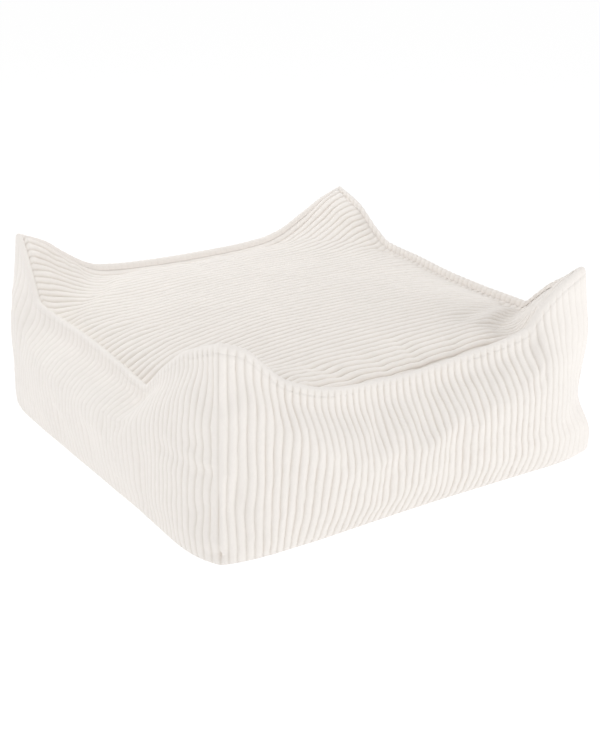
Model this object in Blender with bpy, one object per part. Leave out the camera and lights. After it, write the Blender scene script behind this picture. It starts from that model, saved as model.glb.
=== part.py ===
"""Square corduroy floor ottoman: one filled cushion with four raised corner ears, and the
rolled welt that runs round its top edge. Metres, +Z up, standing on z = 0."""

from collections import namedtuple

import bmesh
import bpy
import numpy as np
from mathutils import Matrix

MM = 0.001

# Driving sizes
WALES_PER_SIDE = 54  # ridges of jumbo cord across one side, about 11 mm apart
WALE_RELIEF = 1.3 * MM  # crest above, and valley below, the mean face of the cloth
NOMINAL_HALF = 280 * MM  # from the middle of a side to its ear, along the side
WALL_ROWS = (0.0, 0.035, 0.13, 0.29, 0.45, 0.61, 0.77, 0.90, 1.0)  # shares of the rim's height
WALL_ROW_RELIEF = (0.4, 0.7, 1.0, 1.0, 1.0, 1.0, 1.0, 1.0, 0.3)  # wales fade at both seams
FOOT_HEIGHT = 30 * MM
STANDING_EDGE = 12 * MM  # the side stands upright just below the welt
LEDGE_WIDTH = 8 * MM  # the joined panel edges, under the welt
TOP_WIDTH = 2 * (NOMINAL_HALF - LEDGE_WIDTH)
TOP_COLUMNS = 15
CROWN_HEIGHT = 190 * MM
CROWN_REACH = 75 * MM  # how far in from the rim the top nears its crown
RIM_TROUGH = 6.5 * MM  # the top dips just inside the welt
TROUGH_REACH = 9 * MM
EAR_ROUNDING = 1.5  # 1 makes an ear's inner face flat, 2 makes it a quarter cone
WELT_RISE = 9 * MM
CORNER_PINCH = 5 * MM  # where the front seam is gathered just above the floor
CORNER_PINCH_HEIGHT = 11 * MM
CORNER_PINCH_RADIUS = 11 * MM
RIM_ROLL = 1 * MM  # how much further out the side stands just below its seam
BASE_SQUARE = 0.5  # the plain square in the middle of the base, as a share of the base
CORD_COLOUR = (0.83, 0.81, 0.77)
WELT_COLOUR = (0.80, 0.78, 0.74)
CLOTH_ROUGHNESS = 0.95
JOIN_DISTANCE = 0.001 * MM
TINY = 0.0001 * MM  # keeps a weight finite on an edge
LENGTH_STEPS = 400  # for measuring the cloth along a side

# One row for each section of a side, in millimetres. "along" runs from one ear to the next,
# heights are from the floor, and the others are distances from the cushion's middle.
Section = namedtuple("Section", "along rim_height rim kink_height kink foot base")

CORNERS = {
    "front_left": Section(280, 266, 279, 120, 289, 294, 291),
    "front_right": Section(280, 264, 280, 88, 282, 295, 294),
    "back_right": Section(280, 268, 281, 120, 290, 289, 283),
    "back_left": Section(280, 268, 286, 100, 299, 299, 297),
}

# The side towards -Y: a swag hangs between its ears and kinks outwards below mid height.
FRONT = (
    Section(-250, 254, 283, 205, 293, 300, 298),
    Section(-225, 231, 286, 176, 301, 304, 301),
    Section(-203, 211, 288, 156, 311, 306, 302),
    Section(-178, 199, 290, 136, 319, 309, 302),
    Section(-148, 188, 288, 114, 323, 312, 303),
    Section(-110, 179, 281, 96, 321, 311, 302),
    Section(-60, 172, 271, 85, 315, 309, 301),
    Section(0, 169, 267, 86, 312, 307, 300),
    Section(50, 171, 265, 98, 307, 305, 300),
    Section(100, 176, 266, 107, 309, 306, 301),
    Section(150, 183, 270, 121, 306, 306, 302),
    Section(188, 194, 275, 138, 304, 306, 303),
    Section(207, 217, 278, 150, 302, 306, 304),
    Section(237, 242, 280, 150, 294, 304, 304),
)
# The side towards +X stands upright.
RIGHT = (
    Section(-250, 243, 281, 150, 292, 298, 295),
    Section(-222, 226, 283, 150, 300, 303, 296),
    Section(-196, 205, 284, 140, 306, 306, 297),
    Section(-170, 187, 285, 125, 311, 308, 297),
    Section(-110, 187, 285, 105, 317, 311, 297),
    Section(-20, 189, 285, 95, 321, 313, 297),
    Section(75, 196, 286, 105, 319, 312, 297),
    Section(145, 201, 285, 125, 314, 310, 296),
    Section(180, 218, 284, 145, 308, 306, 295),
    Section(226, 250, 282, 180, 298, 299, 291),
)
# The side towards +Y stands upright too, and its rim hardly sags.
BACK = (
    Section(-243, 253, 283, 190, 294, 295, 290),
    Section(-208, 233, 285, 155, 304, 303, 294),
    Section(-160, 208, 287, 125, 314, 309, 296),
    Section(-126, 200, 288, 110, 319, 311, 296),
    Section(-70, 196, 289, 98, 323, 313, 296),
    Section(15, 195, 289, 92, 324, 314, 296),
    Section(100, 197, 289, 105, 320, 312, 297),
    Section(160, 203, 288, 125, 315, 311, 298),
    Section(180, 210, 287, 135, 312, 310, 299),
    Section(217, 233, 286, 165, 305, 307, 300),
    Section(243, 252, 286, 190, 300, 304, 300),
)
# The side towards -X slumps most: a long low rim with a sharp notch beside the front ear.
LEFT = (
    Section(-258, 240, 287, 165, 303, 304, 302),
    Section(-236, 208, 289, 145, 306, 306, 303),
    Section(-222, 184, 288, 132, 309, 307, 303),
    Section(-178, 171, 278, 118, 314, 308, 304),
    Section(-110, 165, 272, 113, 316, 309, 304),
    Section(-48, 160, 270, 110, 317, 309, 304),
    Section(15, 154, 270, 110, 316, 309, 304),
    Section(74, 149, 271, 114, 313, 308, 304),
    Section(104, 168, 274, 124, 310, 308, 304),
    Section(135, 190, 279, 135, 306, 307, 305),
    Section(171, 214, 282, 150, 303, 308, 306),
    Section(205, 235, 283, 170, 300, 309, 307),
    Section(242, 251, 282, 195, 296, 306, 304),
)

# Where a corner stands fuller than its section: how far, at what height, over what height
# and along how much of the sides that meet there
Swell = namedtuple("Swell", "corner out height spread along")
CORNER_SWELLS = (Swell("front_right", 5.5 * MM, 170 * MM, 50 * MM, 0.12),)

# Going round from the front, each side with the ears at its two ends
SIDES = (
    (FRONT, "front_left", "front_right"),
    (RIGHT, "front_right", "back_right"),
    (BACK, "back_right", "back_left"),
    (LEFT, "back_left", "front_left"),
)

HALF_WALES = 2 * WALES_PER_SIDE  # a crest and a valley for each wale

# The welt's outline from the outer seam, up over the roll and down to the inner seam:
# distance inwards from the outer seam and height above the ledge, in millimetres
WELT_OUTLINE = (
    (-0.8, 0.8),
    (-1.0, 3.6),
    (0.6, 7.2),
    (4.2, 9.0),
    (8.0, 7.4),
    (9.6, 3.8),
    (8.6, 0.8),
)


def smooth_curve(at, xs, ys):
    """A curve through the points (xs, ys) that never swings past them, read at each of at."""
    xs, ys = np.asarray(xs, float), np.asarray(ys, float)
    steps = np.diff(xs)
    slopes = np.diff(ys) / steps
    tangents = np.zeros(len(xs))
    tangents[0], tangents[-1] = slopes[0], slopes[-1]
    same_way = slopes[:-1] * slopes[1:] > 0
    before, after = slopes[:-1][same_way], slopes[1:][same_way]
    tangents[1:-1][same_way] = 2 * before * after / (before + after)
    at = np.clip(at, xs[0], xs[-1])
    piece = np.clip(np.searchsorted(xs, at) - 1, 0, len(steps) - 1)
    step = steps[piece]
    share = (at - xs[piece]) / step
    rise = share * share * (3 - 2 * share)
    leave = share * (1 - share) ** 2 * step * tangents[piece]
    arrive = share * share * (share - 1) * step * tangents[piece + 1]
    return ys[piece] * (1 - rise) + ys[piece + 1] * rise + leave + arrive


def side_table(side):
    """The side's sections with its two corners as columns of metres, and along as -1 to 1."""
    rows, first, last = side
    start = CORNERS[first]._replace(along=-CORNERS[first].along)
    table = np.array([start, *rows, CORNERS[last]], float) * MM
    table[:, 0] /= NOMINAL_HALF
    return table


def sections_at(table, along):
    """The side's section at each place along it, as a dictionary of arrays."""
    values = [smooth_curve(along, table[:, 0], column) for column in table.T[1:]]
    return dict(zip(Section._fields[1:], values))


def outward(section, index, height):
    """How far the cloth stands from the cushion's middle at each height of one section."""
    ledge = section["rim_height"][index] - WELT_RISE
    heights = [0, FOOT_HEIGHT, section["kink_height"][index], ledge - STANDING_EDGE, ledge]
    rim = section["rim"][index]
    outs = [section["base"][index], section["foot"][index], section["kink"][index], rim + RIM_ROLL, rim]
    return smooth_curve(height, heights, outs)


def even_places(table):
    """Places along a side that lie equal lengths of cloth apart, one for each half wale."""
    fine = np.linspace(-1, 1, LENGTH_STEPS + 1)
    kink = sections_at(table, fine)["kink"]
    lengths = np.hypot(np.diff(fine * NOMINAL_HALF), np.diff(kink))
    travelled = np.concatenate([[0], np.cumsum(lengths)])
    return np.interp(np.linspace(0, travelled[-1], HALF_WALES + 1), travelled, fine)


def straighten_between_crests(values):
    """Every second value becomes the mean of its neighbours, so that the welt's longer steps fit."""
    values = values.copy()
    values[1:-1:2] = (values[:-2:2] + values[2::2]) / 2
    return values


def corner_swell(names, share, height):
    """How much further out a side stands near its two corners, as CORNER_SWELLS gives it."""
    out = 0.0
    for swell in CORNER_SWELLS:
        for name, away in zip(names, (share, 1 - share)):
            if name == swell.corner:
                level = (height - swell.height) / swell.spread
                out = out + swell.out * np.exp(-level * level) * np.exp(-away / swell.along)
    return out


def wall_of(side):
    """One side's points as an array [half wale, row] of (along, outward, height)."""
    table = side_table(side)
    places = straighten_between_crests(even_places(table))
    section = sections_at(table, places)
    section["rim_height"] = straighten_between_crests(section["rim_height"])
    section["rim"] = straighten_between_crests(section["rim"])
    points = np.zeros((len(places), len(WALL_ROWS), 3))
    for index in range(len(places)):
        height = np.array(WALL_ROWS) * (section["rim_height"][index] - WELT_RISE)
        points[index, :, 1] = outward(section, index, height)
        points[index, :, 2] = height
    share = ((places + 1) / 2)[:, None]
    points[..., 1] += corner_swell(side[1:], share, points[..., 2])
    # The wales lean with the corners at the side's two ends.
    points[:, :, 0] = -points[0, :, 1] * (1 - share) + points[-1, :, 1] * share
    return points


def turned(points, quarter):
    """The points of a side, from (along, outward, height) to the side that faces that quarter."""
    along, out, height = np.moveaxis(points, -1, 0)
    x, y = ((along, -out), (out, along), (-along, out), (-out, -along))[quarter]
    return np.stack([x, y, height], axis=-1)


def wall_ring():
    """The whole wall as [half wale, row] points, going round once from the front left seam."""
    sides = [turned(wall_of(side), quarter)[:-1] for quarter, side in enumerate(SIDES)]
    return np.concatenate(sides)


def unit(vectors):
    return vectors / np.linalg.norm(vectors, axis=-1, keepdims=True)


def facing(ring):
    """The outward direction at each point of a closed ring of columns."""
    round_it = np.roll(ring, -1, axis=0) - np.roll(ring, 1, axis=0)
    up_it = np.gradient(ring, axis=1)
    return unit(np.cross(round_it, up_it))


def with_wales(ring):
    """The ring raised at each crest of the cord and sunk at each valley and corner seam."""
    crest = np.where(np.arange(len(ring)) % 2 == 1, 1.0, -1.0)[:, None, None]
    push = facing(ring)
    push[:, 0, 2] = push[:, -1, 2] = 0
    relief = WALE_RELIEF * np.array(WALL_ROW_RELIEF)[None, :, None]
    return ring + push * crest * relief


def with_corner_pinch(ring):
    """The gathered dimple at the foot of the front left seam."""
    seam = ring[0, 0] + (ring[0, 2] - ring[0, 0]) * CORNER_PINCH_HEIGHT / ring[0, 2, 2]
    near = np.linalg.norm(ring - seam, axis=-1, keepdims=True) / CORNER_PINCH_RADIUS
    push = facing(ring)
    push[:, 0, 2] = 0
    return ring - push * CORNER_PINCH * np.exp(-near * near)


def ledge_edges(ring):
    """The outer and inner seams under the welt, one point for each half wale."""
    outer = ring[:, -1]
    inner = outer.copy()
    for quarter in range(4):
        first = quarter * HALF_WALES
        index = np.arange(first, first + HALF_WALES + 1) % len(ring)
        along_axis, out_axis = (0, 1) if quarter % 2 == 0 else (1, 0)
        half = np.abs(outer[index[[0, -1]], along_axis])
        share = np.linspace(0, 1, HALF_WALES + 1)
        shrink = 1 - LEDGE_WIDTH / (half[0] * (1 - share) + half[1] * share)
        inner[index, along_axis] = outer[index, along_axis] * shrink
        inner[index, out_axis] = outer[index, out_axis] - np.sign(outer[index, out_axis]) * LEDGE_WIDTH
    return outer, inner


def side_of(ring_line, quarter):
    """One side's stretch of a line round the cushion, both corners included."""
    first = quarter * HALF_WALES
    return ring_line[np.arange(first, first + HALF_WALES + 1) % len(ring_line)]


def edge_heights(line, from_start, from_end):
    """The height of a rim line at a distance from its nearer corner."""
    length = np.concatenate([[0], np.cumsum(np.linalg.norm(np.diff(line[:, :2], axis=0), axis=1))])
    half = length[-1] / 2
    near_start = from_start <= from_end
    reach = np.minimum(np.where(near_start, from_start, from_end), half)
    return np.interp(np.where(near_start, reach, length[-1] - reach), length, line[:, 2])


def column_places():
    """Places across the top, as shares of its width: one in each trough, the rest closer near the ears."""
    trough = TROUGH_REACH / TOP_WIDTH
    even = np.linspace(0, 1, TOP_COLUMNS - 1)
    closer = (1 - np.cos(np.pi * even)) / 2
    between = trough + (1 - 2 * trough) * (even + closer) / 2
    return np.concatenate([[0], between, [1]])


def top_surface(inner, share_x, share_y):
    """The top panel inside the inner seam, as [row across the wales, column along them]."""
    front, right = side_of(inner, 0), side_of(inner, 1)
    back, left = side_of(inner, 2)[::-1], side_of(inner, 3)[::-1]
    at = np.linspace(0, 1, HALF_WALES + 1)

    def read(line, places):
        return np.stack([np.interp(places, at, line[:, axis]) for axis in range(3)], axis=-1)

    low, high = read(front, share_x)[None], read(back, share_x)[None]
    west, east = read(left, share_y)[:, None], read(right, share_y)[:, None]
    across = share_x[None, :, None]
    deep = share_y[:, None, None]
    corners = (front[0] * (1 - across) + front[-1] * across) * (1 - deep)
    corners = corners + (back[0] * (1 - across) + back[-1] * across) * deep
    points = low * (1 - deep) + high * deep + west * (1 - across) + east * across - corners

    from_west, from_front = np.broadcast_arrays(across[..., 0] * TOP_WIDTH, deep[..., 0] * TOP_WIDTH)
    from_east, from_back = TOP_WIDTH - from_west, TOP_WIDTH - from_front

    def rounded(one, other):
        return (one**EAR_ROUNDING + other**EAR_ROUNDING) ** (1 / EAR_ROUNDING)

    edges = (
        (front, from_front, from_west, from_east),
        (back, from_back, from_west, from_east),
        (left, from_west, from_front, from_back),
        (right, from_east, from_front, from_back),
    )
    total, weights, pillow, trough = 0.0, 0.0, 1.0, 0.0
    for line, away, start, end in edges:
        height = edge_heights(line, rounded(start, away), rounded(end, away))
        weight = 1 / (away + TINY) ** 2
        total, weights = total + height * weight, weights + weight
        pillow = pillow * (1 - np.exp(-away / CROWN_REACH))
        near = away / TROUGH_REACH
        trough = np.maximum(trough, near * np.exp(1 - near))
    rim_share = 1 - pillow
    points[..., 2] = CROWN_HEIGHT * pillow + (total / weights - RIM_TROUGH * trough) * rim_share
    points[:, 0], points[:, -1] = west[:, 0], east[:, 0]
    return points


def top_panel(inner):
    """The cord of the top panel, two rows in from its seams, with its crests and valleys."""
    rows = top_surface(inner, column_places(), np.linspace(0, 1, HALF_WALES + 1))
    crest = np.where(np.arange(HALF_WALES + 1) % 2 == 1, 1.0, -1.0)[:, None]
    rows[:, 1:-1, 2] += WALE_RELIEF * crest
    return rows[2:-2]


def add_grid(bm, points, wrap=False):
    """A grid of the given [row, column] points. With wrap its last row meets its first."""
    if wrap:
        points = np.concatenate([points, points[:1]])
    rows, columns = points.shape[:2]
    made = bmesh.ops.create_grid(bm, x_segments=columns - 1, y_segments=rows - 1, size=1)
    for vert, place in zip(made["verts"], points.reshape(-1, 3)):
        vert.co = place
    return np.array(made["verts"], dtype=object).reshape(rows, columns)


def stitch(bm, near, far):
    """A strip of triangles between two rows of unlike counts that both run towards +X."""
    i = j = 0
    while i < len(near) - 1 or j < len(far) - 1:
        far_done = j == len(far) - 1
        near_done = i == len(near) - 1
        if not (far_done or near_done):
            near_first = near[i].co.x + near[i + 1].co.x <= far[j].co.x + far[j + 1].co.x
        if far_done or (not near_done and near_first):
            bm.faces.new((near[i], near[i + 1], far[j]))
            i += 1
        else:
            bm.faces.new((near[i], far[j + 1], far[j]))
            j += 1


def add_base(bm, feet):
    """The flat base: a plain square in its middle, and fans from the square's corners to the feet."""
    hubs = [bm.verts.new(feet[quarter * HALF_WALES].co * BASE_SQUARE) for quarter in range(4)]
    middle = HALF_WALES // 2
    for quarter, hub in enumerate(hubs):
        next_hub = hubs[(quarter + 1) % 4]
        side = feet[quarter * HALF_WALES : (quarter + 1) * HALF_WALES + 1]
        for index in range(HALF_WALES):
            bm.faces.new((side[index + 1], side[index], hub if index < middle else next_hub))
        bm.faces.new((side[middle], hub, next_hub))
    bm.faces.new(hubs[::-1])


def cushion_mesh(ring, inner):
    """The filled body: wall, the ledge under the welt, the top panel and the flat base."""
    bm = bmesh.new()
    wall = add_grid(bm, np.concatenate([ring, inner[:, None]], axis=1), wrap=True)
    add_base(bm, wall[:, 0])
    panel = add_grid(bm, top_panel(inner))
    # One row in from the front and back seams the cloth follows the welt, so it has a column a wale.
    one_row = 1 / HALF_WALES
    fine = np.linspace(0, 1, WALES_PER_SIDE + 1)
    gutters = top_surface(inner, fine, np.array([one_row, 1 - one_row]))
    seam = wall[:, -1]
    front_seam = seam[: HALF_WALES + 1]
    back_seam = seam[2 * HALF_WALES : 3 * HALF_WALES + 1][::-1]
    for edge, gutter, row in ((front_seam, gutters[0], panel[0]), (back_seam, gutters[1], panel[-1])):
        gutter = [bm.verts.new(place) for place in gutter]
        stitch(bm, edge, gutter)
        stitch(bm, gutter, row)
    return finished(bm, "cushion_body")


def welt_mesh(outer, inner):
    """The rolled welt, swept once round the ledge with a section for each wale."""
    outer, inner = outer[::2], inner[::2]
    across = (inner - outer) / LEDGE_WIDTH
    outline = np.array(WELT_OUTLINE + WELT_OUTLINE[:1]) * MM
    points = outer[:, None] + across[:, None] * outline[None, :, :1]
    points[..., 2] += outline[None, :, 1]
    bm = bmesh.new()
    add_grid(bm, points, wrap=True)
    return finished(bm, "welt")


def finished(bm, name):
    """The mesh once its rows are joined and its faces look outwards."""
    bmesh.ops.remove_doubles(bm, verts=bm.verts, dist=JOIN_DISTANCE)
    bmesh.ops.recalc_face_normals(bm, faces=bm.faces)
    mesh = bpy.data.meshes.new(name)
    bm.to_mesh(mesh)
    bm.free()
    return mesh


def cloth_material(name, colour, roughness):
    material = bpy.data.materials.new(name)
    material.use_nodes = True
    shader = material.node_tree.nodes["Principled BSDF"]
    shader.inputs["Base Color"].default_value = (*colour, 1)
    shader.inputs["Roughness"].default_value = roughness
    shader.inputs["Metallic"].default_value = 0
    return material


def place(mesh, material, collection):
    mesh.materials.append(material)
    collection.objects.link(bpy.data.objects.new(mesh.name, mesh))


def centre(meshes):
    """Moves the meshes so that their common box is centred over the origin."""
    corners = np.array([vert.co for mesh in meshes for vert in mesh.vertices])
    middle = (corners.min(axis=0) + corners.max(axis=0)) / 2
    for mesh in meshes:
        mesh.transform(Matrix.Translation((-middle[0], -middle[1], 0)))


def main():
    for old in list(bpy.data.objects):
        bpy.data.objects.remove(old)
    collection = bpy.data.collections.new("ottoman")
    bpy.context.scene.collection.children.link(collection)
    smooth_ring = wall_ring()
    outer, inner = ledge_edges(smooth_ring)
    body = cushion_mesh(with_wales(with_corner_pinch(smooth_ring)), inner)
    welt = welt_mesh(outer, inner)
    centre([body, welt])
    place(body, cloth_material("cushion_cord", CORD_COLOUR, CLOTH_ROUGHNESS), collection)
    place(welt, cloth_material("welt_cloth", WELT_COLOUR, CLOTH_ROUGHNESS), collection)


main()
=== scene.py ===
"""Looks of the square corduroy floor ottoman: its filled cord cushion, the rolled welt round
the top edge, and a bright studio. Metres, +Z up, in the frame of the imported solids."""

from collections import namedtuple

import bpy
import numpy as np
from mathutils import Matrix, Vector


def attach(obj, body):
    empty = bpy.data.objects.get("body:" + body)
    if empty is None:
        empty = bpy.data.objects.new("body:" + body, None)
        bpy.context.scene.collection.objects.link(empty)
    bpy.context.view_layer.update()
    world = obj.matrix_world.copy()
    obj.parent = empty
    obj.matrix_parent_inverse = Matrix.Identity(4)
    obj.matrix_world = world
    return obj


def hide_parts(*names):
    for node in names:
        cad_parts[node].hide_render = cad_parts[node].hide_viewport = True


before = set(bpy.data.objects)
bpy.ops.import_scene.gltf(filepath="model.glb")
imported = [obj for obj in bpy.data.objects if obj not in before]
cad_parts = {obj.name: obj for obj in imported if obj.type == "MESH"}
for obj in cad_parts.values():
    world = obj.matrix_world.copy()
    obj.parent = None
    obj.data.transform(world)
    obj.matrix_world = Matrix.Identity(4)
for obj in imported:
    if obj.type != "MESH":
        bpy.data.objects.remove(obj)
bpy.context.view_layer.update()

MM = 0.001

# Driving sizes, the same as the solids' own
WALES_PER_SIDE = 54
NOMINAL_HALF = 280 * MM  # from the middle to a side, before the sides belly out
FOOT_HEIGHT = 30 * MM
STANDING_EDGE = 12 * MM  # how much of a side stands upright below its rim
RIM_ROLL = 1 * MM  # how far that edge leans out at its foot
LEDGE_WIDTH = 8 * MM  # between the side's seam and the top's, under the welt
TOP_WIDTH = 2 * (NOMINAL_HALF - LEDGE_WIDTH)
CROWN_HEIGHT = 190 * MM  # the sunken top's own height
CROWN_REACH = 75 * MM  # how far the rims and ears still lift it
RIM_TROUGH = 6.5 * MM  # how deep the top dips beside the welt
TROUGH_REACH = 9 * MM
EAR_ROUNDING = 1.5
WELT_RISE = 9 * MM
FRAME_OFFSET = np.array([-2.08, -0.43, 0]) * MM  # from the sections' own middle to the frame's

# Sizes that only the cloth needs
WALE_HEIGHT = 2.0 * MM  # from the bottom of a groove to the top of a wale
POINTS_PER_WALE = 8
WALL_ROWS = 52
TOP_COLUMNS = 88
SEAM_ANGLE = 75  # degrees; the cloth is shaded smooth but for its sewn edges
GROOVE_SHARPNESS = 0.7  # under 1 gives round-topped wales with narrow grooves
ROW_CROWDING = 1.15  # over 1 lays a side's rows closer together at the floor, where it rolls under
END_CROWDING = 0.3  # 0 spaces the top's columns evenly, and 1 crowds them fully towards its ends
FOOT_TUCK = 3 * MM  # how far the side rolls under at the floor
TUCK_HEIGHT = 10 * MM
FOOT_SPREAD = 2 * MM  # how far the filling's weight spreads the foot
SPREAD_HEIGHT = 70 * MM
EAR_REACH = 80 * MM  # the trough inside the rim runs out this near an ear
NO_TROUGH = 1.6  # over 1 leaves the ear's own inner face without any
TIP_FILL = 8 * MM  # how much higher the top stands in the very tip of an ear
TIP_REACH = 32 * MM
EAR_GATHER = 1.5  # how much more a rise counts than a level run where the wales are shared out
GATHER_BLUR = 28  # that sharing changes over this part of the top's width
LENGTH_STEPS = 400  # for measuring along a side
TINY = 0.0001 * MM
JOIN_DISTANCE = 0.001 * MM

# One row for each section of a side, in millimetres. "along" runs from one ear to the next,
# heights are from the floor, and the others are distances from the cushion's middle.
Section = namedtuple("Section", "along rim_height rim kink_height kink foot base")

CORNERS = {
    "front_left": Section(280, 266, 279, 120, 289, 294, 291),
    "front_right": Section(280, 264, 280, 88, 282, 295, 294),
    "back_right": Section(280, 268, 281, 120, 290, 289, 283),
    "back_left": Section(280, 268, 286, 100, 299, 299, 297),
}
FRONT = (
    Section(-250, 254, 283, 205, 293, 300, 298),
    Section(-225, 231, 286, 176, 301, 304, 301),
    Section(-203, 211, 288, 156, 311, 306, 302),
    Section(-178, 199, 290, 136, 319, 309, 302),
    Section(-148, 188, 288, 114, 323, 312, 303),
    Section(-110, 179, 281, 96, 321, 311, 302),
    Section(-60, 172, 271, 85, 315, 309, 301),
    Section(0, 169, 267, 86, 312, 307, 300),
    Section(50, 171, 265, 98, 307, 305, 300),
    Section(100, 176, 266, 107, 309, 306, 301),
    Section(150, 183, 270, 121, 306, 306, 302),
    Section(188, 194, 275, 138, 304, 306, 303),
    Section(207, 217, 278, 150, 302, 306, 304),
    Section(237, 242, 280, 150, 294, 304, 304),
)
RIGHT = (
    Section(-250, 243, 281, 150, 292, 298, 295),
    Section(-222, 226, 283, 150, 300, 303, 296),
    Section(-196, 205, 284, 140, 306, 306, 297),
    Section(-170, 187, 285, 125, 311, 308, 297),
    Section(-110, 187, 285, 105, 317, 311, 297),
    Section(-20, 189, 285, 95, 321, 313, 297),
    Section(75, 196, 286, 105, 319, 312, 297),
    Section(145, 201, 285, 125, 314, 310, 296),
    Section(180, 218, 284, 145, 308, 306, 295),
    Section(226, 250, 282, 180, 298, 299, 291),
)
BACK = (
    Section(-243, 253, 283, 190, 294, 295, 290),
    Section(-208, 233, 285, 155, 304, 303, 294),
    Section(-160, 208, 287, 125, 314, 309, 296),
    Section(-126, 200, 288, 110, 319, 311, 296),
    Section(-70, 196, 289, 98, 323, 313, 296),
    Section(15, 195, 289, 92, 324, 314, 296),
    Section(100, 197, 289, 105, 320, 312, 297),
    Section(160, 203, 288, 125, 315, 311, 298),
    Section(180, 210, 287, 135, 312, 310, 299),
    Section(217, 233, 286, 165, 305, 307, 300),
    Section(243, 252, 286, 190, 300, 304, 300),
)
LEFT = (
    Section(-258, 240, 287, 165, 303, 304, 302),
    Section(-236, 208, 289, 145, 306, 306, 303),
    Section(-222, 184, 288, 132, 309, 307, 303),
    Section(-178, 171, 278, 118, 314, 308, 304),
    Section(-110, 165, 272, 113, 316, 309, 304),
    Section(-48, 160, 270, 110, 317, 309, 304),
    Section(15, 154, 270, 110, 316, 309, 304),
    Section(74, 149, 271, 114, 313, 308, 304),
    Section(104, 168, 274, 124, 310, 308, 304),
    Section(135, 190, 279, 135, 306, 307, 305),
    Section(171, 214, 282, 150, 303, 308, 306),
    Section(205, 235, 283, 170, 300, 309, 307),
    Section(242, 251, 282, 195, 296, 306, 304),
)
# Where a corner stands fuller than its section, or with a negative out is pulled in: how far,
# at what height, over what height and along how much of the sides that meet there
Swell = namedtuple("Swell", "corner out height spread along")
CORNER_SWELLS = (
    Swell("front_right", 5.5 * MM, 170 * MM, 50 * MM, 0.12),
    Swell("front_left", -3.5 * MM, 62 * MM, 46 * MM, 0.005),
    Swell("front_left", -9 * MM, 12 * MM, 9 * MM, 0.016),
)

# How far the wales of a side wander along it by the time they reach the floor, in millimetres
# at places that many millimetres from its middle. The drift starts at LEAN_HEIGHT.
LEAN_HEIGHT = 64 * MM
FOOT_LEANS = {
    "front": ((-280, 0), (-225, 0), (-150, -9), (-20, -17), (170, -17), (235, -9), (280, 0)),
    "right": ((-280, 0), (-120, 5), (100, 8), (280, 0)),
    "back": ((-280, 0), (-150, -6), (120, -4), (280, 0)),
    "left": ((-280, 0), (-100, 4), (150, 2), (280, 0)),
}

SIDE_NAMES = ("front", "right", "back", "left")
SIDES = (
    (FRONT, "front_left", "front_right"),
    (RIGHT, "front_right", "back_right"),
    (BACK, "back_right", "back_left"),
    (LEFT, "back_left", "front_left"),
)


def smooth_curve(at, xs, ys):
    """A curve through the points (xs, ys) that never swings past them, read at each of at."""
    xs, ys = np.asarray(xs, float), np.asarray(ys, float)
    steps = np.diff(xs)
    slopes = np.diff(ys) / steps
    tangents = np.zeros(len(xs))
    tangents[0], tangents[-1] = slopes[0], slopes[-1]
    same_way = slopes[:-1] * slopes[1:] > 0
    before, after = slopes[:-1][same_way], slopes[1:][same_way]
    tangents[1:-1][same_way] = 2 * before * after / (before + after)
    at = np.clip(at, xs[0], xs[-1])
    piece = np.clip(np.searchsorted(xs, at) - 1, 0, len(steps) - 1)
    step = steps[piece]
    share = (at - xs[piece]) / step
    rise = share * share * (3 - 2 * share)
    leave = share * (1 - share) ** 2 * step * tangents[piece]
    arrive = share * share * (share - 1) * step * tangents[piece + 1]
    return ys[piece] * (1 - rise) + ys[piece + 1] * rise + leave + arrive


def side_table(side):
    """The side's sections with its two corners as columns of metres, and along as -1 to 1."""
    rows, first, last = side
    start = CORNERS[first]._replace(along=-CORNERS[first].along)
    table = np.array([start, *rows, CORNERS[last]], float) * MM
    table[:, 0] /= NOMINAL_HALF
    return table


def sections_at(table, along):
    """The side's section at each place along it, as a dictionary of arrays."""
    values = [smooth_curve(along, table[:, 0], column) for column in table.T[1:]]
    return dict(zip(Section._fields[1:], values))


def outward(section, index, height):
    """How far the cloth stands from the cushion's middle at each height of one section."""
    ledge = section["rim_height"][index] - WELT_RISE
    heights = [0, FOOT_HEIGHT, section["kink_height"][index], ledge - STANDING_EDGE, ledge]
    rim = section["rim"][index]
    below = [section[place][index] for place in ("base", "foot", "kink")]
    return smooth_curve(height, heights, [*below, rim + RIM_ROLL, rim])


def even_places(table, count):
    """Places along a side that lie equal lengths of cloth apart."""
    fine = np.linspace(-1, 1, LENGTH_STEPS + 1)
    kink = sections_at(table, fine)["kink"]
    lengths = np.hypot(np.diff(fine * NOMINAL_HALF), np.diff(kink))
    travelled = np.concatenate([[0], np.cumsum(lengths)])
    return np.interp(np.linspace(0, travelled[-1], count), travelled, fine)


def blurred(grid, reach, axis):
    """The grid softened along one axis, its first and last lines kept where they are."""
    span = int(3 * reach) + 1
    weights = np.exp(-0.5 * (np.arange(-span, span + 1) / reach) ** 2)
    weights /= weights.sum()
    lines = np.moveaxis(grid, axis, 0)
    # Reflected through its ends, so that the ends themselves don't move.
    head = 2 * lines[:1] - lines[1 : span + 1][::-1]
    tail = 2 * lines[-1:] - lines[-span - 1 : -1][::-1]
    padded = np.concatenate([head, lines, tail])
    soft = sum(w * padded[i : i + len(lines)] for i, w in enumerate(weights))
    return np.moveaxis(soft, 0, axis)


def corner_swell(corner, away, height):
    """How much further out a side stands at a share of its length away from that corner."""
    out = np.zeros_like(height)
    for swell in CORNER_SWELLS:
        if swell.corner == corner:
            level = (height - swell.height) / swell.spread
            out += swell.out * np.exp(-level * level) * np.exp(-away / swell.along) * (1 - away)
    return out


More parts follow.
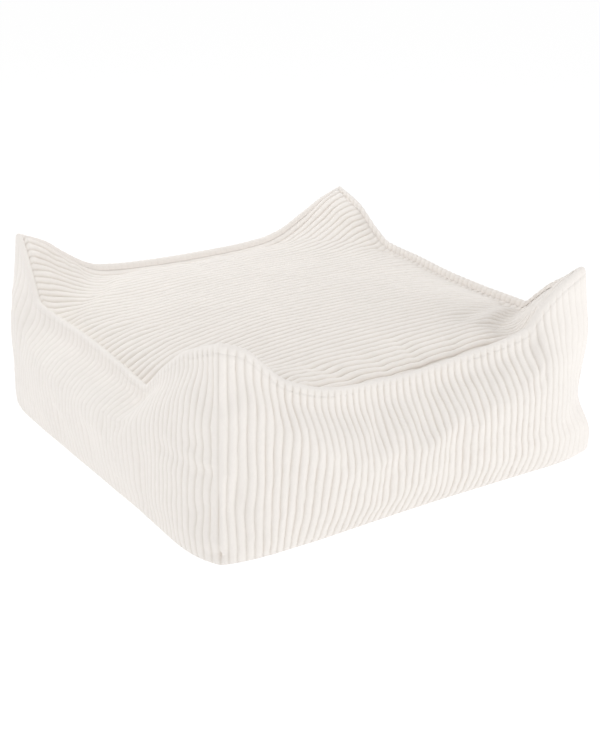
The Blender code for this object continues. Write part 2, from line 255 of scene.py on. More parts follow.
def side_grid(quarter, columns, rows):
    """One side's cloth as [column, row] points from the floor up to its seam with the welt."""
    table = side_table(SIDES[quarter])
    places = even_places(table, columns)
    section = sections_at(table, places)
    shares = np.linspace(0, 1, rows) ** ROW_CROWDING
    points = np.zeros((columns, rows, 3))
    for index in range(columns):
        height = shares * (section["rim_height"][index] - WELT_RISE)
        points[index, :, 1] = outward(section, index, height)
        points[index, :, 2] = height
    points[..., 1] = blurred(points[..., 1], rows / WALES_PER_SIDE, 1)
    points[..., 1] = blurred(points[..., 1], columns / WALES_PER_SIDE, 0)
    tuck = np.clip(1 - points[..., 2] / TUCK_HEIGHT, 0, 1)
    points[..., 1] += FOOT_SPREAD * np.clip(1 - points[..., 2] / SPREAD_HEIGHT, 0, 1)
    points[..., 1] -= FOOT_TUCK * tuck**2
    share = ((places + 1) / 2)[:, None]
    points[:, :, 0] = -points[0, :, 1] * (1 - share) + points[-1, :, 1] * share
    _, first, last = SIDES[quarter]
    near_first = corner_swell(first, share, points[..., 2])
    near_last = corner_swell(last, 1 - share, points[..., 2])
    points[..., 0] += near_last - near_first
    points[..., 1] += near_last + near_first
    leans = FOOT_LEANS[SIDE_NAMES[quarter]]
    lean = np.interp(places * NOMINAL_HALF / MM, *zip(*leans)) * MM
    points[:, :, 0] += lean[:, None] * np.clip(1 - points[..., 2] / LEAN_HEIGHT, 0, 1) ** 2
    return turned(points, quarter)


def turned(points, quarter):
    """The points of a side, from (along, outward, height) to the side that faces that quarter."""
    along, out, height = np.moveaxis(points, -1, 0)
    x, y = ((along, -out), (out, along), (-along, out), (-out, -along))[quarter]
    return np.stack([x, y, height], axis=-1)


def inner_seam(outer, quarter):
    """The seam on the other side of the welt, a ledge's width in from a side's upper edge."""
    inner = outer.copy()
    along_axis, out_axis = (0, 1) if quarter % 2 == 0 else (1, 0)
    half = np.abs(outer[[0, -1], along_axis])
    share = np.linspace(0, 1, len(outer))
    shrink = 1 - LEDGE_WIDTH / (half[0] * (1 - share) + half[1] * share)
    inner[:, along_axis] = outer[:, along_axis] * shrink
    inner[:, out_axis] -= np.sign(outer[:, out_axis]) * LEDGE_WIDTH
    return inner


def edge_heights(line, from_start, from_end):
    """The height of a rim line at a distance from its nearer corner."""
    steps = np.linalg.norm(np.diff(line[:, :2], axis=0), axis=1)
    length = np.concatenate([[0], np.cumsum(steps)])
    half = length[-1] / 2
    near_start = from_start <= from_end
    reach = np.minimum(np.where(near_start, from_start, from_end), half)
    return np.interp(np.where(near_start, reach, length[-1] - reach), length, line[:, 2])


def top_grid(seams, rows, columns):
    """The top panel inside its seams, as [row across the wales, column along them]."""
    front, right, back, left = seams[0], seams[1], seams[2][::-1], seams[3][::-1]
    share_x = top_columns(columns)
    share_y = np.linspace(0, 1, rows)

    def read(line, places):
        at = np.linspace(0, 1, len(line))
        return np.stack([np.interp(places, at, line[:, axis]) for axis in range(3)], axis=-1)

    low, high = read(front, share_x)[None], read(back, share_x)[None]
    west, east = read(left, share_y)[:, None], read(right, share_y)[:, None]
    across = share_x[None, :, None]
    deep = share_y[:, None, None]
    corners = (front[0] * (1 - across) + front[-1] * across) * (1 - deep)
    corners = corners + (back[0] * (1 - across) + back[-1] * across) * deep
    points = low * (1 - deep) + high * deep + west * (1 - across) + east * across - corners

    from_west, from_front = np.broadcast_arrays(across[..., 0] * TOP_WIDTH, deep[..., 0] * TOP_WIDTH)
    from_east, from_back = TOP_WIDTH - from_west, TOP_WIDTH - from_front

    def rounded(one, other):
        return (one**EAR_ROUNDING + other**EAR_ROUNDING) ** (1 / EAR_ROUNDING)

    edges = (
        (front, from_front, from_west, from_east),
        (back, from_back, from_west, from_east),
        (left, from_west, from_front, from_back),
        (right, from_east, from_front, from_back),
    )
    total, weights, pillow, trough = 0.0, 0.0, 1.0, 0.0
    for line, away, start, end in edges:
        height = edge_heights(line, rounded(start, away), rounded(end, away))
        weight = 1 / (away + TINY) ** 2
        total, weights = total + height * weight, weights + weight
        pillow = pillow * (1 - np.exp(-away / CROWN_REACH))
        near = away / TROUGH_REACH
        trough = np.maximum(trough, near * np.exp(1 - near))
    rim_share = 1 - pillow
    near_side, near_end = np.minimum(from_west, from_east), np.minimum(from_front, from_back)
    trough = trough * np.clip(1 - NO_TROUGH * np.exp(-(near_side + near_end) / EAR_REACH), 0, 1)
    heights = CROWN_HEIGHT * pillow + total / weights * rim_share
    heights = heights + TIP_FILL * np.exp(-(near_side + near_end) / TIP_REACH)
    heights = blurred(heights, rows / WALES_PER_SIDE, 0)
    heights = blurred(heights, columns / WALES_PER_SIDE, 1)
    points[..., 2] = heights - RIM_TROUGH * trough * rim_share
    points[0], points[-1] = low[0], high[0]
    points[:, 0], points[:, -1] = west[:, 0], east[:, 0]
    return gathered(points)


def gathered(points):
    """The top with its wales shared out again along each column, closer together up the ears."""
    rows, columns = points.shape[:2]
    numbers = np.arange(rows)
    even = np.linspace(0, 1, rows)
    steps = np.diff(points, axis=0)
    steps[..., 2] *= EAR_GATHER
    travelled = np.cumsum(np.linalg.norm(steps, axis=-1), axis=0)
    lengths = np.concatenate([np.zeros((1, columns)), travelled])
    places = [np.interp(even * length[-1], length, numbers) for length in lengths.T]
    places = blurred(np.stack(places, axis=1), columns / GATHER_BLUR, 1)
    result = points.copy()
    for column in range(columns):
        for axis in range(3):
            line = points[:, column, axis]
            result[:, column, axis] = np.interp(places[:, column], numbers, line)
    return result


def top_columns(columns):
    """Places across the top as shares of its width, closer together near its two ends."""
    even = np.linspace(0, 1, columns)
    return (1 - END_CROWDING) * even + END_CROWDING * (1 - np.cos(np.pi * even)) / 2


def between(coarse, fine):
    """Weights that read a smooth curve through evenly spaced values at fine even places."""
    at = np.linspace(0, coarse - 1, fine)
    left = np.clip(at.astype(int), 0, coarse - 2)
    share = at - left
    cubes = (
        (-1, -0.5 * share**3 + share**2 - 0.5 * share),
        (0, 1.5 * share**3 - 2.5 * share**2 + 1),
        (1, -1.5 * share**3 + 2 * share**2 + 0.5 * share),
        (2, 0.5 * share**3 - 0.5 * share**2),
    )
    weights = np.zeros((fine, coarse))
    for offset, weight in cubes:
        np.add.at(weights, (np.arange(fine), np.clip(left + offset, 0, coarse - 1)), weight)
    return weights


def enlarged(values, rows, columns):
    """A coarse grid of values read smoothly at rows by columns places."""
    across = np.tensordot(between(values.shape[0], rows), values, axes=1)
    return np.moveaxis(np.tensordot(between(values.shape[1], columns), across, axes=(1, 1)), 0, 1)


def soft_noise(random, shape, cells):
    """Smooth random values about 0, with so many cells along each axis."""
    values = random.standard_normal((cells[0] + 1, cells[1] + 1))
    return enlarged(values, *shape)


def unit(vectors):
    """The same directions with a length of 1."""
    return vectors / np.maximum(np.linalg.norm(vectors, axis=-1, keepdims=True), TINY)


def facing(grid):
    """The direction out of the cloth at each point of a [column, row] grid."""
    return unit(np.cross(np.gradient(grid, axis=0), np.gradient(grid, axis=1)))


# How the cloth settles over its filling

CAGE_ROWS = 25
CAGE_TOP_COLUMNS = 49
HELD_ROWS = 2  # of a side, at the floor
CLOTH_FRAMES = 20
CLOTH_QUALITY = 6
CLOTH_MASS = 0.3
CLOTH_TENSION = 12
CLOTH_SHEAR = 4
CLOTH_BENDING = 0.4
CLOTH_EXCESS = 0.035  # how much larger the cloth is than its filling, which lets it pucker
FILLING_PRESSURE = 4
MOST_SETTLING = 2.6 * MM
PUCKER_SOFTNESS = 0.8  # in wales, so that a pucker takes a few wales and not just one
ROWS_HELD_BACK = 7  # of the cage, over which the puckers of a side grow from nothing at the floor
ROWS_AT_RIM = 4  # and the same below the welt
KEPT_SWELLING = 0.15  # share of the broad swelling that is kept, as the sections have theirs
BROAD_WALES = 4  # a swelling wider than so many wales, and than so many of the cage's rows, is broad
BROAD_ROWS = 3


def cage_panels():
    """The side and top panels with a point for each wale, before the filling pushes at them."""
    sides = [side_grid(quarter, WALES_PER_SIDE + 1, CAGE_ROWS) for quarter in range(4)]
    seams = [inner_seam(side[:, -1], quarter) for quarter, side in enumerate(sides)]
    return sides, top_grid(seams, WALES_PER_SIDE + 1, CAGE_TOP_COLUMNS)


def select_only(obj):
    """Selects one object and makes it the active one."""
    bpy.ops.object.select_all(action="DESELECT")
    obj.select_set(True)
    bpy.context.view_layer.objects.active = obj


def grid_object(name, points):
    """A grid primitive laid through [row, column] points, with the points' own order."""
    rows, columns = points.shape[:2]
    bpy.ops.object.select_all(action="DESELECT")
    bpy.ops.mesh.primitive_grid_add(x_subdivisions=columns - 1, y_subdivisions=rows - 1, size=1)
    made = bpy.context.object
    made.name = name
    made.data.vertices.foreach_set("co", points.reshape(-1))
    return made


def joined(pieces, name):
    """The pieces as one object of that name."""
    bpy.ops.object.select_all(action="DESELECT")
    for piece in pieces:
        piece.select_set(True)
    bpy.context.view_layer.objects.active = pieces[0]
    bpy.ops.object.join()
    whole = bpy.context.object
    whole.name = whole.data.name = name
    return whole


def close_up(obj):
    """Sews the panels together where they meet, fills the base and turns all faces outwards."""
    select_only(obj)
    bpy.ops.object.mode_set(mode="EDIT")
    bpy.ops.mesh.select_all(action="SELECT")
    bpy.ops.mesh.remove_doubles(threshold=JOIN_DISTANCE)
    bpy.ops.mesh.select_all(action="DESELECT")
    bpy.ops.mesh.select_non_manifold()
    bpy.ops.mesh.edge_face_add()
    bpy.ops.mesh.select_all(action="SELECT")
    bpy.ops.mesh.normals_make_consistent(inside=False)
    bpy.ops.object.mode_set(mode="OBJECT")


def ledge_strip(outer, inner):
    """Triangles between a side's seam and the top's, walked from end to end along X or Y."""
    axis = int(np.abs(outer[-1] - outer[0]).argmax())
    way = np.sign(outer[-1, axis] - outer[0, axis])
    near, far = outer[:, axis] * way, inner[:, axis] * way
    faces = []
    i = j = 0
    while i < len(near) - 1 or j < len(far) - 1:
        far_done = j == len(far) - 1
        near_done = i == len(near) - 1
        near_first = not (far_done or near_done) and near[i] + near[i + 1] <= far[j] + far[j + 1]
        if far_done or near_first:
            faces.append((i, i + 1, len(near) + j))
            i += 1
        else:
            faces.append((i, len(near) + j + 1, len(near) + j))
            j += 1
    return np.concatenate([outer, inner]), faces


def ledge_object(outer, inner, wales):
    """One ledge strip as an object, ready to be joined to the panels."""
    points, faces = ledge_strip(outer, inner)
    mesh = bpy.data.meshes.new("ledge")
    mesh.from_pydata((points + FRAME_OFFSET).tolist(), [], faces)
    mesh.uv_layers.new(name="UVMap")
    give_wales(mesh, wales)
    strip = bpy.data.objects.new("ledge", mesh)
    bpy.context.scene.collection.objects.link(strip)
    return strip


def give_wales(mesh, wales):
    """Each point's wale height, 0 in a groove and 1 on a crest, for the material to read."""
    attribute = mesh.attributes.new("wale", "FLOAT", "POINT")
    attribute.data.foreach_set("value", wales.reshape(-1).astype(np.float32))


def edges_of(top):
    """The top panel's four edges, each running the way the side below it does."""
    return top[0], top[:, -1], top[-1][::-1], top[:, 0][::-1]


def ledge_objects(sides, top, side_wales, top_wales):
    """The strips under the welt that sew each side panel to its edge of the top panel."""
    strips = zip(sides, edges_of(top), side_wales, edges_of(top_wales))
    made = []
    for side, edge, near, far in strips:
        made.append(ledge_object(side[:, -1], edge, np.concatenate([near[:, -1], far])))
    return made


def seam_marks(panel, edge_rows):
    """True at the points of a panel that its seams hold."""
    marks = np.zeros(panel.shape[:2], bool)
    marks[[0, -1]] = True
    marks[:, :edge_rows] = True
    marks[:, -1] = True
    return marks.reshape(-1)


def points_of(mesh):
    """Where the mesh's points are, one row each."""
    places = np.empty(len(mesh.vertices) * 3)
    mesh.vertices.foreach_get("co", places)
    return places.reshape(-1, 3)


def filled_out(cage, held):
    """Runs the cloth simulation: pressure from within, no gravity, the seams held."""
    group = cage.vertex_groups.new(name="held")
    group.add([int(index) for index in np.flatnonzero(held)], 1.0, "REPLACE")
    cloth = cage.modifiers.new("Settle", "CLOTH")
    settings = cloth.settings
    settings.quality = CLOTH_QUALITY
    settings.mass = CLOTH_MASS
    settings.tension_stiffness = settings.compression_stiffness = CLOTH_TENSION
    settings.shear_stiffness = CLOTH_SHEAR
    settings.bending_stiffness = CLOTH_BENDING
    settings.shrink_min = -CLOTH_EXCESS
    settings.use_pressure = True
    settings.uniform_pressure_force = FILLING_PRESSURE
    settings.effector_weights.gravity = 0
    settings.vertex_group_mass = "held"
    cloth.collision_settings.use_collision = False
    cloth.point_cache.frame_start = 1
    cloth.point_cache.frame_end = CLOTH_FRAMES
    for step in range(1, CLOTH_FRAMES + 1):
        bpy.context.scene.frame_set(step)
    select_only(cage)
    bpy.ops.object.modifier_apply(modifier="Settle")
    bpy.context.scene.frame_set(1)


def settled_shifts():
    """How the cloth moves when its filling pushes at it, for each side panel and the top."""
    sides, top = cage_panels()
    panels = [*sides, top]
    made, first = [], 0
    for panel in panels:
        piece = grid_object("cage_panel", panel + FRAME_OFFSET)
        # Each point keeps its number, because sewing drops the doubles. 0 is the ledges' own.
        number = piece.data.attributes.new("number", "INT", "POINT")
        count = len(piece.data.vertices)
        number.data.foreach_set("value", np.arange(first + 1, first + count + 1))
        made.append(piece)
        first += count
    plain = [np.ones(panel.shape[:2]) for panel in panels]
    cage = joined(made + ledge_objects(sides, top, plain[:-1], plain[-1]), "cage")
    close_up(cage)
    before = points_of(cage.data)
    number = np.empty(len(before), int)
    cage.data.attributes["number"].data.foreach_get("value", number)
    sewn = [seam_marks(side, HELD_ROWS) for side in sides] + [seam_marks(top, 1)]
    held = np.concatenate([[True], *sewn])[number]
    filled_out(cage, held)
    shift = np.zeros((first + 1, 3))
    shift[number] = points_of(cage.data) - before
    bpy.data.objects.remove(cage)
    ends = np.cumsum([panel.shape[0] * panel.shape[1] for panel in panels])
    parts = np.split(shift[1:], ends[:-1])
    settled = [ripples(panel, part.reshape(panel.shape)) for panel, part in zip(panels, parts)]
    rows = np.arange(CAGE_ROWS)
    from_floor = np.clip(rows / ROWS_HELD_BACK, 0, 1)
    free = from_floor * np.clip((CAGE_ROWS - 1 - rows) / ROWS_AT_RIM, 0, 1)
    return [side * free[None, :, None] for side in settled[:-1]] + [settled[-1]]


def ripples(panel, shift):
    """The puckers that a panel's movement gives it, in or out, with little of its swelling."""
    out = facing(panel)
    away = (shift * out).sum(axis=-1)
    broad = blurred(blurred(away, BROAD_WALES, 0), BROAD_ROWS, 1)
    fine = blurred(away, PUCKER_SOFTNESS, 0) - (1 - KEPT_SWELLING) * broad
    return out * (np.tanh(fine / MOST_SETTLING) * MOST_SETTLING)[..., None]


# The cloth itself: how uneven it is

RANDOM_SEED = 11
LUMP = 0.55 * MM  # over a few wales, where the filling is uneven
PUCKER = 0.3 * MM  # from wale to wale
SWAY = 0.6 * MM  # how a group of wales wanders from side to side
JOG = 0.25 * MM  # how a single wale does
TUFTING = 0.12 * MM  # from tuft to tuft along a wale
FULLNESS = 0.1  # by what share one wale stands higher than another, and at most
MOST_FULLNESS = 0.4
WALES_IN_A_GROUP = 4
LUMPS_ALONG = 8  # over the length of a wale, and so on for the next two
SWAYS_ALONG = 6
PUCKERS_ALONG = 16
POINTS_IN_A_TUFT = 3
EDGE_POINTS = 1.2  # how soon the cloth's unevenness starts inside a side's seams
TOP_EDGE_POINTS = 3  # and inside the top's seams across the wales, and at their ends
TOP_END_POINTS = 1
EDGE_RELIEF = 0.25  # share of a wale's height that is left where it runs into a seam
EAR_RELIEF = 0.6  # how much higher the top's wales stand on the ears, where they are gathered

# How high the wales stand along a side, as (millimetres from its middle, share): the cloth is
# pulled flatter where it is stretched over a corner. On the top this runs from front to back.
WALE_SHARES = {
    "front": ((-280, 0.85), (-200, 1.05), (150, 1.05), (205, 0.85), (245, 0.5), (280, 0.3)),
    "right": ((-280, 0.6), (-180, 0.9), (180, 0.9), (280, 0.7)),
    "back": ((-280, 0.7), (-180, 0.9), (180, 0.9), (280, 0.7)),
    "left": ((-280, 0.5), (-180, 0.6), (100, 0.6), (170, 0.9), (280, 0.95)),
    "top": ((-280, 1.8), (90, 1.8), (225, 1.0)),
}

Fold = namedtuple("Fold", "panel start_u start_v end_u end_v depth width")

# Creases (and, with a negative depth, ridges) in millimetres. On a side u runs along it and v
# up from the floor; on the top u is X and v is Y.
FOLDS = (
    Fold("left", 180, 114, 262, 116, 3, 11),
    Fold("front", -262, 70, -248, 180, 1.5, 10),
    Fold("top", 180, -212, 262, -188, 3.5, 16),
    Fold("top", 165, -170, 262, -145, 3, 14),
    Fold("top", 190, -192, 262, -165, -2, 9),
    Fold("top", 30, -248, 205, -258, 4.5, 8),
    Fold("top", 200, -238, 255, -222, 5.5, 18),
)


def fold_depths(panel, u, v):
    """How far the panel's folds press in at each place (u, v), given in millimetres."""
    depth = np.zeros_like(u)
    for fold in FOLDS:
        if fold.panel != panel:
            continue
        run = np.array([fold.end_u - fold.start_u, fold.end_v - fold.start_v], float)
        share = ((u - fold.start_u) * run[0] + (v - fold.start_v) * run[1]) / (run @ run)
        share = np.clip(share, 0, 1)
        away = np.hypot(u - fold.start_u - share * run[0], v - fold.start_v - share * run[1])
        depth += fold.depth * np.exp(-((away / fold.width) ** 2))
    return depth


def wale_profile(count):
    """The rounded height of a wale across count points, 0 in each groove and 1 on each crest."""
    phase = np.arange(count) % POINTS_PER_WALE / POINTS_PER_WALE
    return np.sin(np.pi * phase) ** GROOVE_SHARPNESS


def seam_fade(count, reach):
    """1 over most of a run of points, falling towards its two ends within reach points."""
    index = np.arange(count)
    return 1 - np.exp(-np.minimum(index, count - 1 - index) / reach)


def corded(panel, grid, random, u, v, edge_fade, wale_fade):
    """The panel with its folds, its uneven filling and its wales, and each point's wale height."""
    shape = grid.shape[:2]
    wales = shape[0] // POINTS_PER_WALE
    groups = wales // WALES_IN_A_GROUP
    out = facing(grid)
    lumps = LUMP * soft_noise(random, shape, (groups, LUMPS_ALONG))
    lumps += PUCKER * soft_noise(random, shape, (wales, PUCKERS_ALONG))
    grid = grid + out * ((lumps - fold_depths(panel, u, v) * MM) * edge_fade)[..., None]
    sideways = unit(np.gradient(grid, axis=0))
    sway = SWAY * soft_noise(random, shape, (groups, SWAYS_ALONG))
    sway += JOG * soft_noise(random, shape, (wales, PUCKERS_ALONG))
    grid = grid + sideways * (sway * edge_fade)[..., None]
    wale = np.broadcast_to(wale_profile(shape[0])[:, None], shape)
    fullness = 1 + FULLNESS * soft_noise(random, shape, (wales, shape[1] // POINTS_IN_A_TUFT))
    fullness = np.clip(fullness, 1 - MOST_FULLNESS, 1 + MOST_FULLNESS)
    height = WALE_HEIGHT * (wale - 0.5) * fullness
    height += TUFTING * soft_noise(random, shape, (2 * wales, shape[1])) * edge_fade
    return grid + facing(grid) * (height * wale_fade)[..., None], wale


def side_panel(name, side, random):
    """One side's cloth with its folds and wales. The wales run on over its upper edge."""
    count = len(side)
    side_u = np.linspace(-NOMINAL_HALF, NOMINAL_HALF, count) / MM
    u = np.broadcast_to(side_u[:, None], side.shape[:2])
    ends = seam_fade(count, EDGE_POINTS)[:, None]
    fade = ends * seam_fade(WALL_ROWS, EDGE_POINTS)[None, :]
    from_floor = 1 - np.exp(-np.arange(WALL_ROWS) / EDGE_POINTS)[None, :]
    standing = np.interp(side_u, *zip(*WALE_SHARES[name]))[:, None]
    wale_fade = ends * standing * (EDGE_RELIEF + (1 - EDGE_RELIEF) * from_floor)
    points, wale = corded(name, side, random, u, side[..., 2] / MM, fade, wale_fade)
    # Where the wales stand lower, the grooves get less of their darker colour, which is partly painted
    # shade.
    wale = 1 - (1 - wale) * standing
    points[..., 2] = np.maximum(points[..., 2], 0)
    points[:, 0, 2] = 0
    points[:, -1, 2] = side[:, -1, 2]
    points[[0, -1]] = side[[0, -1]]
    return points, wale


def top_panel(top, random):
    """The top's cloth with its folds and wales. Its rows follow Y, so it is turned to face up."""
    flipped = top[:, ::-1]
    across = seam_fade(len(top), TOP_EDGE_POINTS)[:, None]
    fade = across * seam_fade(TOP_COLUMNS, TOP_END_POINTS)[None, :]
    u, v = flipped[..., 0] / MM, flipped[..., 1] / MM
    from_corner = (TOP_WIDTH - np.abs(u * MM) - np.abs(v * MM)) / EAR_REACH
    standing = np.interp(v, *zip(*WALE_SHARES["top"])) + EAR_RELIEF * np.exp(-from_corner)
    wale_fade = standing * (EDGE_RELIEF + (1 - EDGE_RELIEF) * fade)
    points, wale = corded("top", flipped, random, u, v, fade, wale_fade)
    points, wale = points[:, ::-1].copy(), wale[:, ::-1]
    points[[0, -1]] = top[[0, -1]]
    points[:, [0, -1]] = top[:, [0, -1]]
    return points, wale


def cover_panels():
    """The finished sides and top with their wale heights, the plain sides and the inner seams."""
    random = np.random.default_rng(RANDOM_SEED)
    count = WALES_PER_SIDE * POINTS_PER_WALE + 1
    sides = [side_grid(quarter, count, WALL_ROWS) for quarter in range(4)]
    seams = [inner_seam(side[:, -1], quarter) for quarter, side in enumerate(sides)]
    bare = [*sides, top_grid(seams, count, TOP_COLUMNS)]
    shifts = zip(bare, settled_shifts())
    bare = [panel + enlarged(shift, *panel.shape[:2]) for panel, shift in shifts]
    panels = [side_panel(name, side, random) for name, side in zip(SIDE_NAMES, bare)]
    panels.append(top_panel(bare[-1], random))
    return panels, sides, seams


def lengths_along(grid, axis):
    """Real lengths along one axis of a grid, measured down its middle line, in metres."""
    middle = np.take(grid, grid.shape[1 - axis] // 2, axis=1 - axis)
    steps = np.linalg.norm(np.diff(middle, axis=0), axis=1)
    return np.concatenate([[0], np.cumsum(steps)])


def give_real_uv(piece, across, along):
    """A UV map in metres, from the lengths at the piece's rows and columns."""
    uv = np.stack(np.meshgrid(across, along, indexing="ij"), axis=-1).reshape(-1, 2)
    corners = np.empty(len(piece.data.loops), int)
    piece.data.loops.foreach_get("vertex_index", corners)
    piece.data.uv_layers.active.data.foreach_set("uv", uv[corners].reshape(-1))


def make_cover(panels):
    """The filled cover as one closed mesh, with a UV map in metres and a wale height attribute."""
    made = []
    for points, wale in panels:
        panel = grid_object("cover_panel", points + FRAME_OFFSET)
        give_real_uv(panel, lengths_along(points, 0), lengths_along(points, 1))
        give_wales(panel.data, wale)
        made.append(panel)
    points, wales = zip(*panels)
    ledges = ledge_objects(points[:-1], points[-1], wales[:-1], wales[-1])
    cover = joined(made + ledges, "cushion_cover")
    close_up(cover)
    bpy.ops.object.shade_smooth_by_angle(angle=np.radians(SEAM_ANGLE))
    return cover


# The welt

WELT_POINTS = 15  # over the roll, from the side's seam to the top's
WELT_SQUARENESS = 2.3  # 2 is round
WALE_FALL = 3  # how fast the side's wales die away up the roll's outer face
WELT_OVERHANG = 0.5 * MM  # how far the roll leans over the top panel's seam
WELT_FLOOR = 0.4 * MM  # the underside of the roll above the seams it is sewn to

# How strongly the side's wales still show where the roll turns up, over and down again
RollWales = namedtuple("RollWales", "outer top inner")
ROLL_WALES = {
    "front": RollWales(1.0, 0.1, 0.0),
    "right": RollWales(1.0, 0.8, 0.8),
    "back": RollWales(1.0, 0.3, 0.3),
    "left": RollWales(1.0, 0.15, 0.1),
}


def roll_outline():
    """The roll's outline from seam to seam: distance in, height, and which way it faces."""
    turn = np.linspace(0, np.pi, WELT_POINTS)
    cos, sin = np.cos(turn), np.sin(turn)
    power = 2 / WELT_SQUARENESS
    half = (LEDGE_WIDTH + WELT_OVERHANG) / 2
    reach = half * (1 - np.sign(cos) * np.abs(cos) ** power)
    rise = WELT_RISE * np.abs(sin) ** power
    return reach, rise, cos, sin


def welt_ring(name, bare, corded_edge, seam, wale):
    """One side's stretch of the welt as [section, point], and its wale heights."""
    reach, rise, cos, sin = roll_outline()
    across = (seam - bare) / LEDGE_WIDTH
    relief = -((corded_edge - bare) * across).sum(axis=1)
    outer, top, inner = ROLL_WALES[name]
    going_up = top + (outer - top) * np.abs(cos) ** WALE_FALL
    going_down = top + (inner - top) * np.abs(cos)
    share = np.where(cos > 0, going_up, going_down)
    points = bare[:, None] + across[:, None] * reach[None, :, None]
    push = relief[:, None] * share[None, :]
    points = points - across[:, None] * (push * cos)[..., None]
    points[..., 2] += rise + push * sin
    points[:, 0] = corded_edge
    # Its underside, just above the seams
    under = np.stack([points[:, -1], points[:, 0]], axis=1)
    under[..., 2] += WELT_FLOOR
    under[:, 0] -= across * WELT_OVERHANG * 2
    under[:, 1] += across * WELT_OVERHANG * 2
    # On the roll the grooves' darker colour, partly painted shade, fades as its wales do.
    wales = 1 - (1 - wale[:, None]) * np.append(share, [1, 1])[None, :]
    return np.concatenate([points, under], axis=1), wales


def closed_up(ring):
    """The ring's first section and first point once more at its ends, to close it both ways."""
    ring = np.concatenate([ring, ring[:1]])
    return np.concatenate([ring, ring[:, :1]], axis=1)


def make_welt(panels, sides, seams):
    """The rolled welt, swept once round the ledge."""
    rings, wales = [], []
    for name, (points, wale), side, seam in zip(SIDE_NAMES, panels, sides, seams):
        ring, ring_wales = welt_ring(name, side[:, -1], points[:, -1], seam, wale[:, -1])
        rings.append(ring[:-1])
        wales.append(ring_wales[:-1])
    ring, ring_wales = closed_up(np.concatenate(rings)), closed_up(np.concatenate(wales))
    welt = grid_object("welt_roll", ring + FRAME_OFFSET)
    give_wales(welt.data, ring_wales)
    give_real_uv(welt, lengths_along(ring, 0), lengths_along(ring, 1))
    select_only(welt)
    bpy.ops.object.mode_set(mode="EDIT")
    bpy.ops.mesh.select_all(action="SELECT")
    bpy.ops.mesh.remove_doubles(threshold=JOIN_DISTANCE)
    bpy.ops.mesh.normals_make_consistent(inside=False)
    bpy.ops.object.mode_set(mode="OBJECT")
    bpy.ops.object.shade_smooth_by_angle(angle=np.radians(SEAM_ANGLE))
    welt.data.name = "welt_roll"
    return welt


# Materials

PILE_COLOUR = "#F3EEE9"
# The grooves' colour: the ground weave between the wales, darkened further with painted shade.
GROOVE_WEAVE_AND_SHADE = "#E8E2DB"
WELT_COLOUR = "#F1ECE7"
PILE_FIBRE = 0.9 * MM  # clumps of pile; single fibres are too fine to show
PILE_TUFT = 5 * MM
PILE_BUMP = 0.5 * MM
SHADE_PATCH = 60 * MM  # over which the nap lies one way


def linear(colour):
    """An sRGB hex colour as the linear values that a shader takes."""
    values = [int(colour[i : i + 2], 16) / 255 for i in (1, 3, 5)]
    return [v / 12.92 if v <= 0.04045 else ((v + 0.055) / 1.055) ** 2.4 for v in values] + [1]


def add_node(tree, kind, links=(), **settings):
    """Adds a node, sets its properties or sockets by name, and links (output, socket) pairs."""
    node = tree.nodes.new(kind)
    for name, value in settings.items():
        if hasattr(node, name):
            setattr(node, name, value)
        else:
            node.inputs[name.replace("_", " ").title()].default_value = value
    for output, socket in links:
        tree.links.new(output, node.inputs[socket])
    return node


def brushed_cord(name, crest):
    """Cotton jumbo corduroy, cut and brushed: a matt pile that glows softly at grazing angles."""
    material = bpy.data.materials.new(name)
    material.use_nodes = True
    tree = material.node_tree
    shader = tree.nodes["Principled BSDF"]
    shader.inputs["Roughness"].default_value = 0.95
    shader.inputs["IOR"].default_value = 1.45
    shader.inputs["Specular IOR Level"].default_value = 0.15
    shader.inputs["Sheen Weight"].default_value = 0.25
    shader.inputs["Sheen Roughness"].default_value = 0.5
    place = [(add_node(tree, "ShaderNodeTexCoord").outputs["Object"], "Vector")]
    fibre = add_node(tree, "ShaderNodeTexNoise", place, scale=1 / PILE_FIBRE, detail=3.0)
    tuft = add_node(tree, "ShaderNodeTexNoise", place, scale=1 / PILE_TUFT, detail=2.0)
    patch = add_node(tree, "ShaderNodeTexNoise", place, scale=1 / SHADE_PATCH, detail=2.0)
    # A groove is a little darker than a crest: partly the ground weave showing between the wales, and
    # partly painted shade, which is deeper where the wales stand higher.
    wale = [(add_node(tree, "ShaderNodeAttribute", attribute_name="wale").outputs["Fac"], 0)]
    depth = [(add_node(tree, "ShaderNodeMapRange", wale, from_min=0.15, from_max=0.85).outputs[0], 0)]
    mix = add_node(tree, "ShaderNodeMix", depth, data_type="RGBA")
    mix.inputs[6].default_value = linear(GROOVE_WEAVE_AND_SHADE)
    mix.inputs[7].default_value = linear(crest)
    # The nap lies this way and that, so its tone drifts by a few hundredths.
    drift = add_node(tree, "ShaderNodeMapRange", [(patch.outputs[0], 0)], to_min=0.97, to_max=1.02)
    mottle = add_node(tree, "ShaderNodeMapRange", [(tuft.outputs[0], 0)], to_min=0.98, to_max=1.02)
    shades = [(drift.outputs[0], 0), (mottle.outputs[0], 1)]
    value = add_node(tree, "ShaderNodeMath", shades, operation="MULTIPLY")
    toned = [(mix.outputs[2], "Color"), (value.outputs[0], "Value")]
    tone = add_node(tree, "ShaderNodeHueSaturation", toned)
    tree.links.new(tone.outputs[0], shader.inputs["Base Color"])
    naps = [(fibre.outputs[0], 0), (tuft.outputs[0], 1)]
    nap = add_node(tree, "ShaderNodeMath", naps, operation="ADD")
    bump = add_node(tree, "ShaderNodeBump", [(nap.outputs[0], "Height")], strength=0.5, distance=PILE_BUMP)
    tree.links.new(bump.outputs[0], shader.inputs["Normal"])
    return material


# The studio, in metres and watts

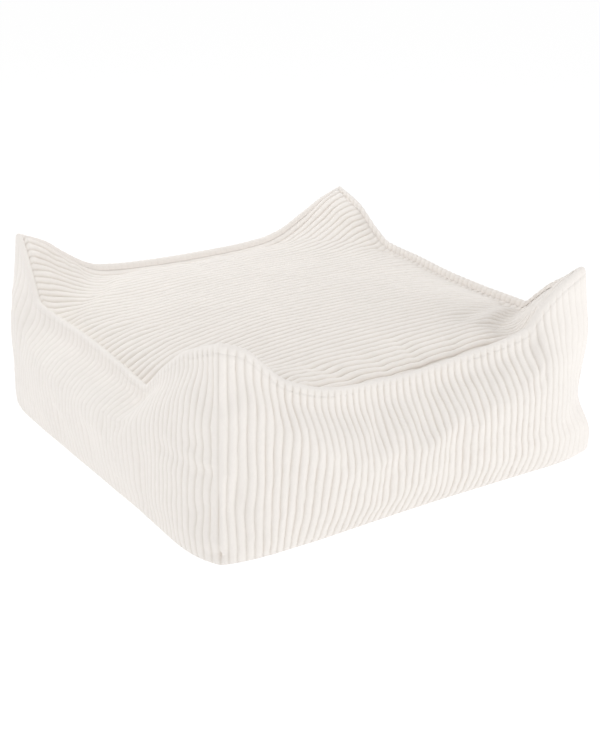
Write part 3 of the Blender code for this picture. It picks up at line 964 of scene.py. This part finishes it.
WORLD_LIGHT = 0.63
FLOOR_SIZE = 300  # wide enough to meet the horizon level in a low view
FLOOR_GREY = "#999999"
FLOOR_GLOW = 0.79  # a light table's glow, so that the floor stays white round the cushion
Lamp = namedtuple("Lamp", "name place size power")
LAMPS = (
    Lamp("left", (-2.1, -1.4, 1.7), 1.6, 10.5),
    Lamp("right", (1.4, -1.7, 0.8), 1.2, 11.8),
    Lamp("back", (-1.2, 1.5, 2.2), 2.0, 12),
    Lamp("above", (-0.2, 0.5, 1.0), 0.4, 1.7),
)
LAMP_AIM = (0, 0, 0.1)


def studio_floor():
    """Matt white that glows a little."""
    material = bpy.data.materials.new("studio_floor")
    material.use_nodes = True
    shader = material.node_tree.nodes["Principled BSDF"]
    shader.inputs["Base Color"].default_value = linear(FLOOR_GREY)
    shader.inputs["Roughness"].default_value = 1.0
    shader.inputs["Specular IOR Level"].default_value = 0.0
    shader.inputs["Emission Color"].default_value = linear("#FFFFFF")
    shader.inputs["Emission Strength"].default_value = FLOOR_GLOW
    return material


def make_studio():
    """A plain white floor, soft light from all round, and four soft lamps."""
    bpy.ops.object.select_all(action="DESELECT")
    bpy.ops.mesh.primitive_plane_add(size=FLOOR_SIZE)
    floor = bpy.context.object
    floor.name = "floor"
    floor.data.materials.append(studio_floor())
    world = bpy.data.worlds.new("studio")
    world.use_nodes = True
    world.node_tree.nodes["Background"].inputs["Color"].default_value = (1, 1, 1, 1)
    world.node_tree.nodes["Background"].inputs["Strength"].default_value = WORLD_LIGHT
    bpy.context.scene.world = world
    for name, place, size, power in LAMPS:
        light = bpy.data.lights.new(name, "AREA")
        light.energy = power
        light.size = size
        holder = bpy.data.objects.new(name, light)
        holder.location = place
        way = Vector(LAMP_AIM) - Vector(place)
        holder.rotation_euler = way.to_track_quat("-Z", "Y").to_euler()
        bpy.context.scene.collection.objects.link(holder)


# The photograph's camera, found by fitting the cushion's outline: degrees round from the front
# and up, and metres
CAMERA_AROUND = -33.64
CAMERA_UP = 21.15
CAMERA_DISTANCE = 1.708
CAMERA_TARGET = (-0.046, -0.090, 0.12)
CAMERA_LENS = 61.1  # millimetres, as is the sensor
CAMERA_SENSOR = 36


def make_camera():
    """The camera, looking at its target from the photograph's side and height."""
    around, up = np.radians(CAMERA_AROUND), np.radians(CAMERA_UP)
    back = np.array([np.sin(around) * np.cos(up), -np.cos(around) * np.cos(up), np.sin(up)])
    target = np.array(CAMERA_TARGET) + FRAME_OFFSET
    camera = bpy.data.cameras.new("camera")
    camera.lens = CAMERA_LENS
    camera.sensor_width = CAMERA_SENSOR
    holder = bpy.data.objects.new("camera", camera)
    holder.location = target + CAMERA_DISTANCE * back
    holder.rotation_euler = Vector(-back).to_track_quat("-Z", "Y").to_euler()
    bpy.context.scene.collection.objects.link(holder)
    bpy.context.scene.camera = holder


def main():
    """Makes the camera, the cover, the welt and the studio."""
    make_camera()
    panels, sides, seams = cover_panels()
    cover = make_cover(panels)
    cover.data.materials.clear()
    cover.data.materials.append(brushed_cord("brushed_cord", PILE_COLOUR))
    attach(cover, "root")
    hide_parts("cushion_body")
    welt = make_welt(panels, sides, seams)
    welt.data.materials.clear()
    welt.data.materials.append(brushed_cord("rolled_cord", WELT_COLOUR))
    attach(welt, "root")
    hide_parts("welt")
    make_studio()
    bpy.context.scene.view_settings.view_transform = "Standard"


main()
